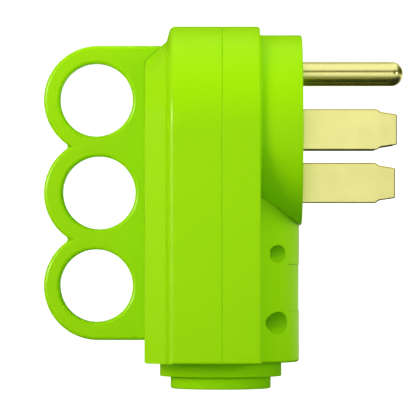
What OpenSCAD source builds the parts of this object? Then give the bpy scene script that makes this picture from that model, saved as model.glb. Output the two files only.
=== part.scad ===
// Fifty-ampere RV power plug with a three-finger pull handle.
// The cord axis is Z, the prongs point along +X, and the plug stands on its cord grommet at Z = 0.

/* [Main body] */
// How far the body stands out past the round nose
shoulder_step = 2.6; // [1.8:0.1:4]
// Height of the prong axis above the underside of the body
body_drop = 69.3; // [66:0.1:74]
// Parting plane between the two shells, ahead of the cord axis
parting_x = 0.4; // [0:0.1:1]
// Length of the body behind the parting plane
rear_len = 15.4; // [14.5:0.1:18]
// Length of the body ahead of the parting plane
front_len = 11.3; // [10.5:0.1:13]
// Thickness of the shell walls
wall = 3; // [2.6:0.1:3.4]
// Radius on the body's rear edge
rear_edge_r = 1.8; // [1:0.1:2.4]
// Radius on the body's front edge
front_edge_r = 0.8; // [0.4:0.1:1.2]
// Radius on the body's lower edges
lower_edge_r = 0.8; // [0.3:0.1:1.2]
// Chamfer on each shell along the parting line
seam_edge = 0.2; // [0.1:0.05:0.4]

/* [Rear hump] */
// How far the rear shoulder leans back between its edge and its foot
shoulder_lean = 1.2; // [0.8:0.1:2]
// Half width of the hump where it meets the shoulder
hump_front_r = 26.6; // [25.6:0.1:27]
// Half width of the hump at its flat back
hump_back_r = 21.2; // [20.8:0.1:22.4]
// Length of the hump behind the shoulder
hump_len = 6.4; // [6:0.1:8]
// Radius on the edge of the flat back
hump_edge_r = 0.6; // [0.4:0.1:1.2]
// Concave radius where the hump meets the shoulder
hump_foot_r = 1.2; // [0.6:0.1:1.6]

/* [Nose and tower] */
// Radius of the round nose that carries the prongs
nose_r = 28.5; // [27.5:0.1:29.5]
// Length of the nose ahead of the body
nose_len = 12.6; // [11.5:0.1:14]
// Radius on the rim of the nose
nose_rim_r = 0.6; // [0.5:0.1:1.5]
// Thickness of the wall behind the nose's face
face_wall = 4; // [3.6:0.1:5]
// Radius of the round tower in front of the cord
tower_r = 23.5; // [23:0.1:24]
// Concave radius where the nose and the tower meet the body
blend_r = 0.7; // [0.4:0.1:1]
// Half width of the recessed panel on the tower
panel_half_w = 12.4; // [10:0.1:14]
// Height of the recessed panel
panel_h = 13.9; // [10:0.1:16]
// Height of the panel's lower edge above the underside of the body
panel_rise = 15.3; // [14:0.1:17]
// Depth of the recessed panel
panel_depth = 0.15; // [0.1:0.05:0.6]

/* [Handle] */
// Thickness of the handle plate
handle_t = 10; // [8:0.1:13]
// Outer radius of each finger ring
ring_r = 16.2; // [15.5:0.1:17]
// Radius of each finger hole
finger_r = 10.9; // [10.5:0.1:11.8]
// Distance between neighbouring ring centres
ring_pitch = 27.8; // [27:0.1:29]
// Distance from the cord axis back to the ring centres
ring_reach = 36.7; // [36:0.1:40]
// Height of the lowest ring centre above the underside of the body
ring_rise = 22.7; // [20:0.1:25]
// How far the outer holes sit behind the ring centres
outer_hole_shift = 0.5; // [0:0.1:1]
// How far the middle hole sits ahead of its ring centre
middle_hole_shift = 0.3; // [0:0.1:1]
// Radius on the edges of the handle
handle_edge_r = 1.2; // [0.6:0.1:2]
// Radius that fills the notch between neighbouring rings
notch_r = 1; // [0.5:0.1:1.5]

/* [Cord entry] */
// Radius of the hole for the cord
cord_r = 11.5; // [11:0.1:11.8]
// Outer radius of the grommet's lower collar
collar_r = 15; // [14.8:0.1:16]
// Height of the grommet's lower collar
collar_h = 3.7; // [3:0.1:5]
// Outer radius of the grommet's flange under the body
flange_r = 18.2; // [17:0.1:20]
// Height of the grommet's flange under the body
flange_h = 4.3; // [3.5:0.1:5.5]
// Radius of the grommet's neck in the body's floor
neck_r = 14.3; // [13.8:0.1:14.6]
// Radius of the grommet's lip inside the body
lip_r = 16.6; // [15.8:0.1:17.2]
// Thickness of the grommet's lip inside the body
lip_h = 2; // [1.5:0.1:2.5]
// Radius on the grommet's lower edge
collar_edge_r = 0.6; // [0.3:0.1:1]

/* [Prongs] */
// Width of a flat blade
blade_w = 12.06; // [11:0.02:13]
// Thickness of a flat blade
blade_t = 1.78; // [1.5:0.02:2.1]
// Length of a blade ahead of the face
blade_len = 28; // [26:0.1:30]
// Width of a blade at its tip
blade_tip_w = 9; // [8:0.1:9.6]
// Length of the tapered tip
blade_tip_len = 6; // [4:0.1:7]
// Length of the short step into the tapered tip
blade_step_len = 1.2; // [0.8:0.1:1.8]
// Depth of that step on each edge
blade_step = 0.8; // [0.4:0.1:0.9]
// Thickness of a blade at its bevelled tip
blade_tip_t = 0.9; // [0.6:0.1:1.2]
// Distance between the two hot blades
hot_spacing = 28.6; // [27.6:0.1:29.6]
// Distance of the neutral blade below the prong axis
neutral_drop = 15.8; // [15.2:0.1:16.2]
// Distance of the ground pin above the prong axis
ground_rise = 16.9; // [16.4:0.1:17.4]
// Radius of the round ground pin
pin_r = 3.7; // [3.4:0.05:3.8]
// Length of the ground pin ahead of the face
pin_len = 30.3; // [28:0.1:33]
// Radius that domes the ground pin's tip
pin_tip_r = 3.4; // [2.5:0.1:3.4]
// Depth of the relief on the ground pin where it passes the face
pin_relief = 0.3; // [0.2:0.05:0.6]
// How far the retaining ears stand out on each edge of a blade
ear = 1.5; // [1:0.1:2]
// Thickness of the ears and of the pin's collar
ear_t = 2; // [1.5:0.1:2.5]

/* [Terminals] */
// Length of a terminal lug
lug_len = 14.7; // [14:0.1:16]
// Width and height of a terminal lug
lug_w = 12; // [11.6:0.1:12.6]
// Thickness of the lug's rear wall, which the screw passes
lug_wall = 3.5; // [3:0.1:4]
// Width of the wire window across the lug
window_w = 8; // [7:0.1:8.6]
// Length of the wire window along the lug
window_len = 5.7; // [5.2:0.1:6]
// Length of the blade's tail inside the lug
tail_len = 4.5; // [4:0.1:4.8]
// Width of the blade's tail inside the lug
tail_w = 8; // [7:0.1:9]
// Radius of the ground pin's tail inside its lug
pin_tail_r = 3; // [2.6:0.1:3.3]
// Radius of a rivet
rivet_r = 1.2; // [1:0.1:1.5]
// Radius of a rivet's head
rivet_head_r = 1.9; // [1.6:0.1:2.1]
// Height of a rivet's head
rivet_head_h = 1; // [0.6:0.1:1.3]
// Radius of a terminal screw's shank
terminal_screw_r = 2.9; // [2.5:0.1:3.1]
// Radius of a terminal screw's head
terminal_head_r = 4.2; // [3.8:0.1:4.6]
// Height of a terminal screw's head
terminal_head_h = 2.8; // [2.2:0.1:3.2]
// Bare shank between a terminal screw's head and its lug
terminal_stand = 3; // [2:0.1:3.5]
// Thickness of a pressure plate
plate_t = 1.3; // [1:0.1:1.6]
// How far a terminal screw's tip stands into the wire window
screw_bite = 0.6; // [0.4:0.1:1]
// Thickness of the insulating barriers on the terminal block
barrier_t = 1.5; // [1.2:0.1:1.9]

/* [Screws] */
// Distance of the shell screws from the middle plane
screw_y = 16.1; // [15.9:0.1:16.6]
// Height of the cover screws above the underside of the body
cover_rise = 32.4; // [32:0.1:35]
// Height of the clamp screws above the underside of the body
clamp_rise = 11.9; // [11.5:0.1:13]
// Radius of a cover screw's shank
cover_screw_r = 1.5; // [1.3:0.1:1.7]
// Radius of the recess over a cover screw's head
cover_recess_r = 2.1; // [1.9:0.1:2.2]
// Radius of the dish around a cover screw's recess
cover_dish_r = 2.6; // [2.5:0.1:2.9]
// Depth of the dish around a cover screw's recess
cover_dish_depth = 2.5; // [2:0.1:2.8]
// Radius of a clamp screw's shank
clamp_screw_r = 1.9; // [1.7:0.1:2.1]
// Radius of the recess over a clamp screw's head
clamp_recess_r = 3; // [2.8:0.1:3.1]
// Radius of the dish around a clamp screw's recess
clamp_dish_r = 3.3; // [3.2:0.1:3.5]
// Depth of the dish around a clamp screw's recess
clamp_dish_depth = 4; // [3.4:0.1:4.2]
// Plastic around each dish
dish_wall = 1.2; // [1:0.1:1.4]
// Height of the shell screws' heads
shell_head_h = 2.4; // [2:0.1:3]
// Seat of the shell screws' heads ahead of the parting plane
seat_len = 7.6; // [6:0.1:8.4]
// Length of the shell screws behind the parting plane
bite_len = 12; // [9:0.1:14]
// Radius of a block screw's shank
block_screw_r = 1.5; // [1.3:0.1:1.7]
// Radius of a block screw's head
block_head_r = 2.6; // [2.3:0.1:2.7]
// Height of a block screw's head
block_head_h = 2; // [1.5:0.1:2.4]
// Depth of a block screw in the wall behind the nose's face
block_bite = 3; // [2.4:0.1:3.2]
// Distance of each block screw from the middle plane
block_screw_y = 13; // [12.6:0.1:14]
// Distance of each block screw above or below the prong axis
block_screw_z = 14; // [13.6:0.1:14.6]
// Width of a screwdriver slot
slot_w = 1; // [0.8:0.1:1.2]
// Depth of a screwdriver slot
slot_depth = 0.9; // [0.6:0.1:1.1]
// Width of each arm of a cross recess
cross_w = 0.8; // [0.6:0.1:1]
// Span of a cross recess
cross_span = 3.2; // [2.6:0.1:3.6]
// Depth of a cross recess
cross_depth = 1.2; // [0.8:0.1:1.4]

/* [Fits] */
// Clearance around prongs and inserts
fit_gap = 0.15; // [0.1:0.05:0.2]
// Clearance around a screw in the hole it grips
grip_gap = 0.05; // [0.03:0.01:0.08]
// Clearance around a screw in a through hole
through_gap = 0.4; // [0.3:0.05:0.5]
// Length of the locating lip past the parting plane
rim_len = 3; // [2:0.1:4]
// Thickness of the locating lip
rim_t = 1.6; // [1.2:0.1:2]

/* [Hidden] */
$fn = 96;
// Extra length that carries a cut past the surface that it opens
cut = 1;
// Straight steps in each rounded corner of an outline
arc_steps = 8;

// Half width of the body, and the radius of its round top
body_r = nose_r + shoulder_step;
base_z = collar_h + flange_h;
axis_z = base_z + body_drop;
floor_z = base_z + wall;
shoulder_x = parting_x + front_len;
face_x = shoulder_x + nose_len;
face_in_x = face_x - face_wall;
shoulder_in_x = shoulder_x - wall;
rear_edge_x = parting_x - rear_len;
rear_foot_x = rear_edge_x - shoulder_lean;
back_x = rear_foot_x - hump_len;
body_in_r = body_r - wall;
nose_in_r = nose_r - wall;
tower_in_r = tower_r - wall;

ring_z = [for (i = [0:2]) base_z + ring_rise + i * ring_pitch];
hole_shift = [-outer_hole_shift, middle_hole_shift, -outer_hole_shift];
handle_top = ring_z[2] + ring_r;
handle_bottom = ring_z[0] - ring_r;

// Offsets of the prongs from the prong axis, as [y, z]
hot_x_at = [-hot_spacing / 2, 0];
hot_y_at = [hot_spacing / 2, 0];
neutral_at = [0, -neutral_drop];
ground_at = [0, ground_rise];
lug_places = [hot_x_at, hot_y_at, neutral_at, ground_at];
blade_places = [hot_x_at, hot_y_at, neutral_at];

block_r = nose_in_r - fit_gap;
block_back_x = shoulder_in_x + 2 * fit_gap;
lug_back_x = block_back_x - lug_len;
window_back_x = lug_back_x + lug_wall;
screw_tip_x = window_back_x + screw_bite;
block_screw_places = [[block_screw_y, block_screw_z], [-block_screw_y, -block_screw_z]];

seat_x = parting_x + seat_len;
// Surface of the tower on the axes of the shell screws
dish_x = sqrt(pow(tower_r, 2) - pow(screw_y, 2));
cover_z = base_z + cover_rise;
clamp_z = base_z + clamp_rise;
jaw_bottom_z = floor_z + lip_h;
jaw_h = 2 * (clamp_z - jaw_bottom_z);
cover_tube_r = cover_dish_r + dish_wall;
clamp_tube_r = clamp_dish_r + dish_wall;
jaw_half_w = screw_y - max(cover_tube_r, clamp_tube_r) - fit_gap;

// Place of point i of an outline, counted round and round
function point(path, i) = let (p = path[(i + len(path)) % len(path)]) [p[0], p[1]];

// Direction of a vector
function unit(v) = v / norm(v);

// Directions from point i of an outline to its two neighbours
function arms(path, i) = [for (k = [-1, 1]) unit(point(path, i + k) - point(path, i))];

// Half of the angle inside corner i of an outline
function half_angle(path, i) = let (a = arms(path, i)) acos(a[0] * a[1]) / 2;

// Centre of the arc that rounds corner i of an outline
function arc_centre(path, i) =
    let (a = arms(path, i))
    point(path, i) + unit(a[0] + a[1]) * path[i][2] / sin(half_angle(path, i));

// Both ends of the arc that rounds corner i of an outline
function arc_ends(path, i) =
    [for (arm = arms(path, i)) point(path, i) + arm * path[i][2] / tan(half_angle(path, i))];

// Points at short steps along the arc that rounds corner i of an outline
function arc_points(path, i) =
    let (
        c = arc_centre(path, i),
        spokes = [for (end = arc_ends(path, i)) end - c],
        sweep = 180 - 2 * half_angle(path, i)
    )
    [
        for (s = [0:1 / arc_steps:1])
            c + (sin(sweep * (1 - s)) * spokes[0] + sin(sweep * s) * spokes[1]) / sin(sweep)
    ];

// Outline through [x, y, radius] points, with each corner rounded to its radius
module outline(path) {
    polygon([
        for (i = [0:len(path) - 1])
            each path[i][2] > 0 ? arc_points(path, i) : [point(path, i)]
    ]);
}

// Half outline of the rear shell, as [along X, half width, radius]
function rear_outline() = [
    [parting_x, 0, 0],
    [parting_x, body_r - seam_edge, 0],
    [parting_x - seam_edge, body_r, 0],
    [rear_edge_x, body_r, rear_edge_r],
    [rear_foot_x, hump_front_r, hump_foot_r],
    [back_x, hump_back_r, hump_edge_r],
    [back_x, 0, 0]
];

function rear_cavity_outline() = [
    [parting_x + cut, 0, 0],
    [parting_x + cut, body_in_r, 0],
    [rear_edge_x + wall, body_in_r, 0],
    [rear_edge_x + wall, hump_front_r - wall, 0],
    [back_x + wall, hump_back_r - wall, 0],
    [back_x + wall, 0, 0]
];

function front_outline() = [
    [parting_x, 0, 0],
    [parting_x, body_r - seam_edge, 0],
    [parting_x + seam_edge, body_r, 0],
    [shoulder_x, body_r, front_edge_r],
    [shoulder_x, 0, 0]
];

function front_cavity_outline() = [
    [parting_x - cut, 0, 0],
    [parting_x - cut, body_in_r, 0],
    [shoulder_in_x, body_in_r, 0],
    [shoulder_in_x, 0, 0]
];

// Lip of the rear shell that locates inside the front shell
function rim_outline() = [
    [parting_x - rim_len, body_in_r - rim_t, 0],
    [parting_x - rim_len, body_in_r + wall / 2, 0],
    [parting_x, body_in_r + wall / 2, 0],
    [parting_x, body_in_r - fit_gap, 0],
    [parting_x + rim_len, body_in_r - fit_gap, 0],
    [parting_x + rim_len, body_in_r - rim_t, 0]
];

// Turns an outline of [along X, half width, radius] points about the prong axis
module turned(path, start = 0, angle = 360) {
    translate([0, 0, axis_z])
        rotate([0, 90, 0])
            rotate_extrude(start = start, angle = angle)
                outline([for (p = path) [p[1], p[0], p[2]]]);
}

// Half-round top and straight sides down to bottom_z, both from one half outline
module hooped(path, bottom_z) {
    turned(path, 90, 180);
    for (side = [-1, 1])
        translate([0, 0, bottom_z])
            linear_extrude(axis_z - bottom_z)
                outline([for (p = path) [p[0], side * p[1], p[2]]]);
}

// Cylinder along X from x1 to x2
module rod(r, x1, x2, y, z) {
    translate([x1, y, z])
        rotate([0, 90, 0])
            cylinder(r = r, h = x2 - x1);
}

// Cylinder along X whose place is given from the prong axis, as [y, z]
module prong_rod(r, x1, x2, at) {
    rod(r, x1, x2, at[0], axis_z + at[1]);
}

// Space that the body may fill, with its long lower edges and its lower back edge rounded
module lower_edges() {
    top = axis_z + body_r + cut;
    intersection() {
        translate([back_x - cut, 0, 0])
            rotate([90, 0, 90])
                linear_extrude(face_x - back_x + 2 * cut)
                    outline([
                        [-body_r, base_z, lower_edge_r], [body_r, base_z, lower_edge_r],
                        [body_r + cut, top, 0], [-body_r - cut, top, 0]
                    ]);
        translate([0, body_r + cut, 0])
            rotate([90, 0, 0])
                linear_extrude(2 * (body_r + cut))
                    outline([
                        [back_x, base_z, lower_edge_r], [face_x, base_z, 0],
                        [face_x, top, 0], [back_x - cut, top, 0]
                    ]);
    }
}

module cord_hole() {
    translate([0, 0, base_z - cut])
        cylinder(r = neck_r + fit_gap, h = wall + 2 * cut);
}

// Round tower in front of the cord, with its concave blends to the body
module tower() {
    translate([0, 0, base_z])
        rotate_extrude()
            outline([
                [0, 0, 0], [tower_r, 0, lower_edge_r], [tower_r, body_drop, 0], [0, body_drop, 0]
            ]);
    blend_x = shoulder_x + blend_r;
    blend_y = sqrt(pow(tower_r + blend_r, 2) - pow(blend_x, 2));
    touch = tower_r / (tower_r + blend_r) * [blend_x, blend_y];
    for (side = [0, 1])
        mirror([0, side, 0])
            translate([0, 0, base_z])
                linear_extrude(body_drop)
                    difference() {
                        polygon([
                            [shoulder_in_x, blend_y], [shoulder_in_x, touch[1] - blend_r],
                            [touch[0] - blend_r, touch[1] - blend_r], touch, [blend_x, blend_y]
                        ]);
                        translate([blend_x, blend_y])
                            circle(r = blend_r);
                    }
}

module nose() {
    turned([
        [shoulder_in_x, 0, 0], [shoulder_in_x, nose_r + 2 * blend_r, 0],
        [shoulder_x, nose_r + 2 * blend_r, 0], [shoulder_x, nose_r, blend_r],
        [face_x, nose_r, nose_rim_r], [face_x, 0, 0]
    ]);
}

module front_body() {
    intersection() {
        hooped(front_outline(), base_z);
        lower_edges();
    }
    intersection() {
        tower();
        translate([parting_x, -body_r, base_z])
            cube([face_x, 2 * body_r, body_drop]);
    }
    nose();
}

module front_cavity() {
    hooped(front_cavity_outline(), floor_z);
    rod(nose_in_r, shoulder_in_x - cut, face_in_x, 0, axis_z);
    intersection() {
        translate([0, 0, floor_z])
            cylinder(r = tower_in_r, h = axis_z - floor_z);
        translate([parting_x - cut, -tower_r, floor_z])
            cube([face_in_x - parting_x + cut, 2 * tower_r, axis_z - floor_z]);
    }
}

// Openings in the wall behind the face, one for each prong
module face_slots() {
    for (at = blade_places)
        translate([face_x - face_wall / 2, at[0], axis_z + at[1]])
            cube([face_wall + 2 * cut, blade_t + 2 * fit_gap, blade_w + 2 * fit_gap], center = true);
    prong_rod(pin_r + fit_gap, face_in_x - cut, face_x + cut, ground_at);
}

module panel_recess() {
    intersection() {
        difference() {
            cylinder(r = tower_r + cut, h = axis_z);
            cylinder(r = tower_r - panel_depth, h = axis_z);
        }
        translate([shoulder_x, -panel_half_w, base_z + panel_rise])
            cube([tower_r, 2 * panel_half_w, panel_h]);
    }
}

// Tube for a shell screw, from the parting plane to the outside of the front shell
module screw_tubes() {
    for (side = [-1, 1]) {
        rod(cover_tube_r, parting_x, face_x, side * screw_y, cover_z);
        rod(clamp_tube_r, parting_x, face_x, side * screw_y, clamp_z);
    }
}

// Stepped hole for a shell screw: a dish outside, a recess for the head and a hole for the shank
module screw_recess(dish_r, dish_depth, recess_r, shank_r, y, z) {
    floor_x = dish_x - dish_depth;
    rod(dish_r, floor_x, face_x + cut, y, z);
    rod(recess_r, seat_x, floor_x + cut, y, z);
    rod(shank_r + through_gap, parting_x - cut, seat_x + cut, y, z);
}

module screw_recesses() {
    for (y = [-screw_y, screw_y]) {
        screw_recess(cover_dish_r, cover_dish_depth, cover_recess_r, cover_screw_r, y, cover_z);
        screw_recess(clamp_dish_r, clamp_dish_depth, clamp_recess_r, clamp_screw_r, y, clamp_z);
    }
}

module front_shell() {
    color("yellowgreen")
        difference() {
            union() {
                difference() {
                    front_body();
                    front_cavity();
                    cord_hole();
                }
                intersection() {
                    screw_tubes();
                    front_body();
                }
            }
            face_slots();
            panel_recess();
            screw_recesses();
            for (at = block_screw_places)
                prong_rod(block_screw_r + grip_gap, face_in_x - cut, face_in_x + block_bite + grip_gap, at);
        }
}

// Disc across the handle plate with rounded edges
module rounded_disc(r, t, edge) {
    rotate([90, 0, 0])
        rotate_extrude()
            outline([[0, -t / 2, 0], [r, -t / 2, edge], [r, t / 2, edge], [0, t / 2, 0]]);
}

// Hole across the handle plate that flares out at both faces
module flared_hole(r, t, edge) {
    rotate([90, 0, 0])
        rotate_extrude()
            outline([
                [0, -t / 2 - cut, 0], [r + edge, -t / 2 - cut, 0], [r + edge, -t / 2, 0], [r, -t / 2, edge],
                [r, t / 2, edge], [r + edge, t / 2, 0], [r + edge, t / 2 + cut, 0], [0, t / 2 + cut, 0]
            ]);
}

// Fillet in the notch between two rings, seen along the finger holes
module notch_fillet() {
    reach = sqrt(pow(ring_r + notch_r, 2) - pow(ring_pitch / 2, 2));
    touch = ring_r / (ring_r + notch_r) * reach;
    height = ring_pitch / 2 * notch_r / (ring_r + notch_r);
    rotate([90, 0, 0])
        linear_extrude(handle_t - 2 * handle_edge_r, center = true)
            difference() {
                polygon([[0, 0], [-touch, height], [-reach, 0], [-touch, -height]]);
                translate([-reach, 0])
                    circle(r = notch_r);
            }
}

module handle() {
    half_t = handle_t / 2;
    difference() {
        union() {
            for (i = [0, 1])
                translate([-ring_reach, 0, (ring_z[i] + ring_z[i + 1]) / 2])
                    notch_fillet();
            for (z = ring_z)
                translate([-ring_reach, 0, z])
                    rounded_disc(ring_r, handle_t, handle_edge_r);
            translate([-ring_reach, 0, 0])
                rotate([90, 0, 90])
                    linear_extrude(ring_reach + rear_edge_x)
                        outline([
                            [-half_t, handle_bottom, handle_edge_r], [half_t, handle_bottom, handle_edge_r],
                            [half_t, handle_top, handle_edge_r], [-half_t, handle_top, handle_edge_r]
                        ]);
        }
        for (i = [0:2])
            translate([hole_shift[i] - ring_reach, 0, ring_z[i]])
                flared_hole(finger_r, handle_t, handle_edge_r);
    }
}

module rear_shell() {
    color("yellowgreen")
        difference() {
            union() {
                difference() {
                    union() {
                        intersection() {
                            hooped(rear_outline(), base_z);
                            lower_edges();
                        }
                        handle();
                    }
                    hooped(rear_cavity_outline(), floor_z);
                    cord_hole();
                }
                hooped(rim_outline(), floor_z + fit_gap);
                for (side = [-1, 1]) {
                    rod(cover_tube_r, back_x + wall / 2, parting_x, side * screw_y, cover_z);
                    rod(clamp_tube_r, back_x + wall / 2, parting_x, side * screw_y, clamp_z);
                }
            }
            pilot_x = parting_x - bite_len - grip_gap;
            for (side = [-1, 1]) {
                rod(cover_screw_r + grip_gap, pilot_x, parting_x + cut, side * screw_y, cover_z);
                rod(clamp_screw_r + grip_gap, pilot_x, parting_x + cut, side * screw_y, clamp_z);
            }
        }
}

module cord_grommet() {
    color("olivedrab")
        rotate_extrude()
            outline([
                [cord_r, 0, 0], [collar_r, 0, collar_edge_r], [collar_r, collar_h, 0],
                [flange_r, collar_h, collar_edge_r / 2], [flange_r, base_z, 0], [neck_r, base_z, 0],
                [neck_r, floor_z, 0], [lip_r, floor_z, 0], [lip_r, jaw_bottom_z, 0],
                [cord_r, jaw_bottom_z, 0]
            ]);
}

// Block of the cord clamp between two places along X
module jaw_blank(x1, x2) {
    translate([x1, -jaw_half_w, jaw_bottom_z])
        cube([x2 - x1, 2 * jaw_half_w, jaw_h]);
}

module cord_space() {
    translate([0, 0, jaw_bottom_z - cut])
        cylinder(r = cord_r + fit_gap, h = jaw_h + 2 * cut);
}

module front_clamp_jaw() {
    color("dimgray")
        difference() {
            intersection() {
                jaw_blank(parting_x + rim_len, face_in_x - fit_gap);
                translate([0, 0, jaw_bottom_z])
                    cylinder(r = tower_in_r - fit_gap, h = jaw_h);
            }
            cord_space();
        }
}

module rear_clamp_jaw() {
    color("dimgray")
        difference() {
            jaw_blank(back_x + wall + fit_gap, parting_x - rim_len);
            cord_space();
        }
}

// Barriers that stand between neighbouring lugs
module barriers() {
    upper_z = ground_rise / 2;
    lower_z = -neutral_drop / 2;
    reach = [lug_back_x, block_back_x + cut];
    intersection() {
        union() {
            for (z = [upper_z, lower_z])
                translate([reach[0], -block_r, axis_z + z - barrier_t / 2])
                    cube([reach[1] - reach[0], 2 * block_r, barrier_t]);
            translate([reach[0], -barrier_t / 2, axis_z + lower_z])
                cube([reach[1] - reach[0], barrier_t, upper_z - lower_z]);
        }
        rod(block_r, reach[0], reach[1], 0, axis_z);
    }
}

module terminal_block() {
    slot = [face_in_x - block_back_x + 2 * cut, blade_t + 2 * fit_gap, blade_w + 2 * fit_gap];
    ear_slot = [2 * (ear_t + fit_gap), slot[1], slot[2] + 2 * ear];
    color("dimgray")
        difference() {
            union() {
                rod(block_r, block_back_x, face_in_x, 0, axis_z);
                barriers();
            }
            for (at = blade_places)
                translate([0, at[0], axis_z + at[1]]) {
                    translate([(block_back_x + face_in_x) / 2, 0, 0])
                        cube(slot, center = true);
                    translate([face_in_x, 0, 0])
                        cube(ear_slot, center = true);
                }
            prong_rod(pin_tail_r + fit_gap, block_back_x - cut, face_in_x, ground_at);
            prong_rod(pin_r + ear + fit_gap, face_in_x - ear_t - fit_gap, face_in_x + cut, ground_at);
            for (at = block_screw_places)
                prong_rod(block_screw_r + through_gap, block_back_x - cut, face_in_x + cut, at);
        }
}

// Point of an outline across its middle line
function mirrored(p) = [p[0], -p[1]];

// Flat blade with ears, a narrow tail for its lug and a tapered, bevelled tip
module blade(at) {
    tip_x = face_x + blade_len;
    taper_x = tip_x - blade_tip_len;
    half = blade_w / 2;
    lead = half - blade_step;
    tail_x = block_back_x - tail_len;
    edge = [
        [tail_x, tail_w / 2], [block_back_x, tail_w / 2], [block_back_x, half],
        [face_in_x - ear_t, half], [face_in_x - ear_t, half + ear],
        [face_in_x, half + ear], [face_in_x, half],
        [taper_x, half], [taper_x + blade_step_len, lead], [tip_x, blade_tip_w / 2]
    ];
    color("palegoldenrod")
        translate([0, at[0], axis_z + at[1]])
            difference() {
                intersection() {
                    rotate([90, 0, 0])
                        linear_extrude(blade_t, center = true)
                            polygon(concat(edge, [for (i = [1:len(edge)]) mirrored(edge[len(edge) - i])]));
                    translate([0, 0, -blade_w])
                        linear_extrude(2 * blade_w)
                            polygon([
                                [tail_x, -blade_t / 2], [taper_x, -blade_t / 2], [tip_x, -blade_tip_t / 2],
                                [tip_x, blade_tip_t / 2], [taper_x, blade_t / 2], [tail_x, blade_t / 2]
                            ]);
                }
                translate([block_back_x - tail_len / 2, 0, 0])
                    rotate([90, 0, 0])
                        cylinder(r = rivet_r + grip_gap, h = blade_t + 2 * cut, center = true);
            }
}

module hot_blade_x() {
    blade(hot_x_at);
}

module hot_blade_y() {
    blade(hot_y_at);
}

module neutral_blade() {
    blade(neutral_at);
}

// Round pin with a domed tip, a collar behind the face and a tail for its lug
module ground_pin() {
    tip_x = face_x + pin_len;
    tail_x = block_back_x - tail_len;
    relief_r = pin_r - pin_relief;
    color("khaki")
        translate([0, ground_at[0], ground_at[1]])
            turned([
                [tail_x, 0, 0], [tail_x, pin_tail_r, 0], [face_in_x - ear_t, pin_tail_r, 0],
                [face_in_x - ear_t, pin_r + ear, 0], [face_in_x, pin_r + ear, 0], [face_in_x, relief_r, 0],
                [face_x, relief_r, 0], [face_x, pin_r, 0], [tip_x, pin_r, pin_tip_r], [tip_x, 0, 0]
            ]);
}

// Box lug with a wire window and a screw hole at the back
module lug_blank(at) {
    translate([lug_back_x, at[0], axis_z + at[1]])
        difference() {
            translate([0, -lug_w / 2, -lug_w / 2])
                cube([lug_len, lug_w, lug_w]);
            translate([lug_wall, -window_w / 2, -lug_w / 2 - cut])
                cube([window_len, window_w, lug_w + 2 * cut]);
            rod(terminal_screw_r + grip_gap, -cut, lug_wall + cut, 0, 0);
        }
}

module blade_lug(at) {
    slot = [2 * (tail_len + grip_gap), blade_t + 2 * grip_gap, tail_w + 2 * grip_gap];
    color("goldenrod")
        difference() {
            lug_blank(at);
            translate([block_back_x, at[0], axis_z + at[1]])
                cube(slot, center = true);
            translate([block_back_x - tail_len / 2, at[0], axis_z + at[1]])
                rotate([90, 0, 0])
                    cylinder(r = rivet_r + grip_gap, h = lug_w + 2 * cut, center = true);
        }
}

module hot_lug_x() {
    blade_lug(hot_x_at);
}

module hot_lug_y() {
    blade_lug(hot_y_at);
}

module neutral_lug() {
    blade_lug(neutral_at);
}

module ground_lug() {
    socket_x = block_back_x - tail_len - grip_gap;
    color("goldenrod")
        difference() {
            lug_blank(ground_at);
            prong_rod(pin_tail_r + grip_gap, socket_x, block_back_x + cut, ground_at);
        }
}

// Plate that a terminal screw presses onto the wire
module pressure_plate(at) {
    color("silver")
        translate([screw_tip_x, at[0] - window_w / 2 + fit_gap, axis_z + at[1] - lug_w / 2])
            cube([plate_t, window_w - 2 * fit_gap, lug_w]);
}

module hot_plate_x() {
    pressure_plate(hot_x_at);
}

module hot_plate_y() {
    pressure_plate(hot_y_at);
}

module neutral_plate() {
    pressure_plate(neutral_at);
}

module ground_plate() {
    pressure_plate(ground_at);
}

// Screw along X with its head at the low end and a slot across the head
module slotted_screw(head_x, head_r, head_h, shank_r, tip_x, at) {
    difference() {
        union() {
            prong_rod(head_r, head_x, head_x + head_h, at);
            prong_rod(shank_r, head_x + head_h / 2, tip_x, at);
        }
        translate([head_x - cut, at[0] - slot_w / 2, axis_z + at[1] - head_r - cut])
            cube([cut + slot_depth, slot_w, 2 * (head_r + cut)]);
    }
}

module terminal_screws() {
    head_x = lug_back_x - terminal_stand - terminal_head_h;
    color("silver")
        for (at = lug_places)
            slotted_screw(head_x, terminal_head_r, terminal_head_h, terminal_screw_r, screw_tip_x, at);
}

module blade_rivets() {
    color("goldenrod")
        for (at = blade_places)
            translate([block_back_x - tail_len / 2, at[0], axis_z + at[1]])
                rotate([90, 0, 0]) {
                    cylinder(r = rivet_r, h = lug_w + rivet_head_h, center = true);
                    for (side = [0, 1])
                        mirror([0, 0, side])
                            translate([0, 0, lug_w / 2])
                                cylinder(r1 = rivet_head_r, r2 = rivet_r, h = rivet_head_h);
                }
}

module block_screws() {
    head_x = block_back_x - block_head_h;
    color("silver")
        for (at = block_screw_places)
            slotted_screw(head_x, block_head_r, block_head_h, block_screw_r, face_in_x + block_bite, at);
}

// Shell screw with a cross recess, driven towards the back
module shell_screw(recess_r, shank_r, y, z) {
    head_r = recess_r - fit_gap;
    difference() {
        union() {
            rod(head_r, seat_x, seat_x + shell_head_h, y, z);
            rod(shank_r, parting_x - bite_len, seat_x + shell_head_h / 2, y, z);
        }
        for (turn = [0, 90])
            translate([seat_x + shell_head_h, y, z])
                rotate([turn, 0, 0])
                    cube([2 * cross_depth, cross_span, cross_w], center = true);
    }
}

module cover_screws() {
    color("silver")
        for (side = [-1, 1])
            shell_screw(cover_recess_r, cover_screw_r, side * screw_y, cover_z);
}

module clamp_screws() {
    color("silver")
        for (side = [-1, 1])
            shell_screw(clamp_recess_r, clamp_screw_r, side * screw_y, clamp_z);
}

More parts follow.
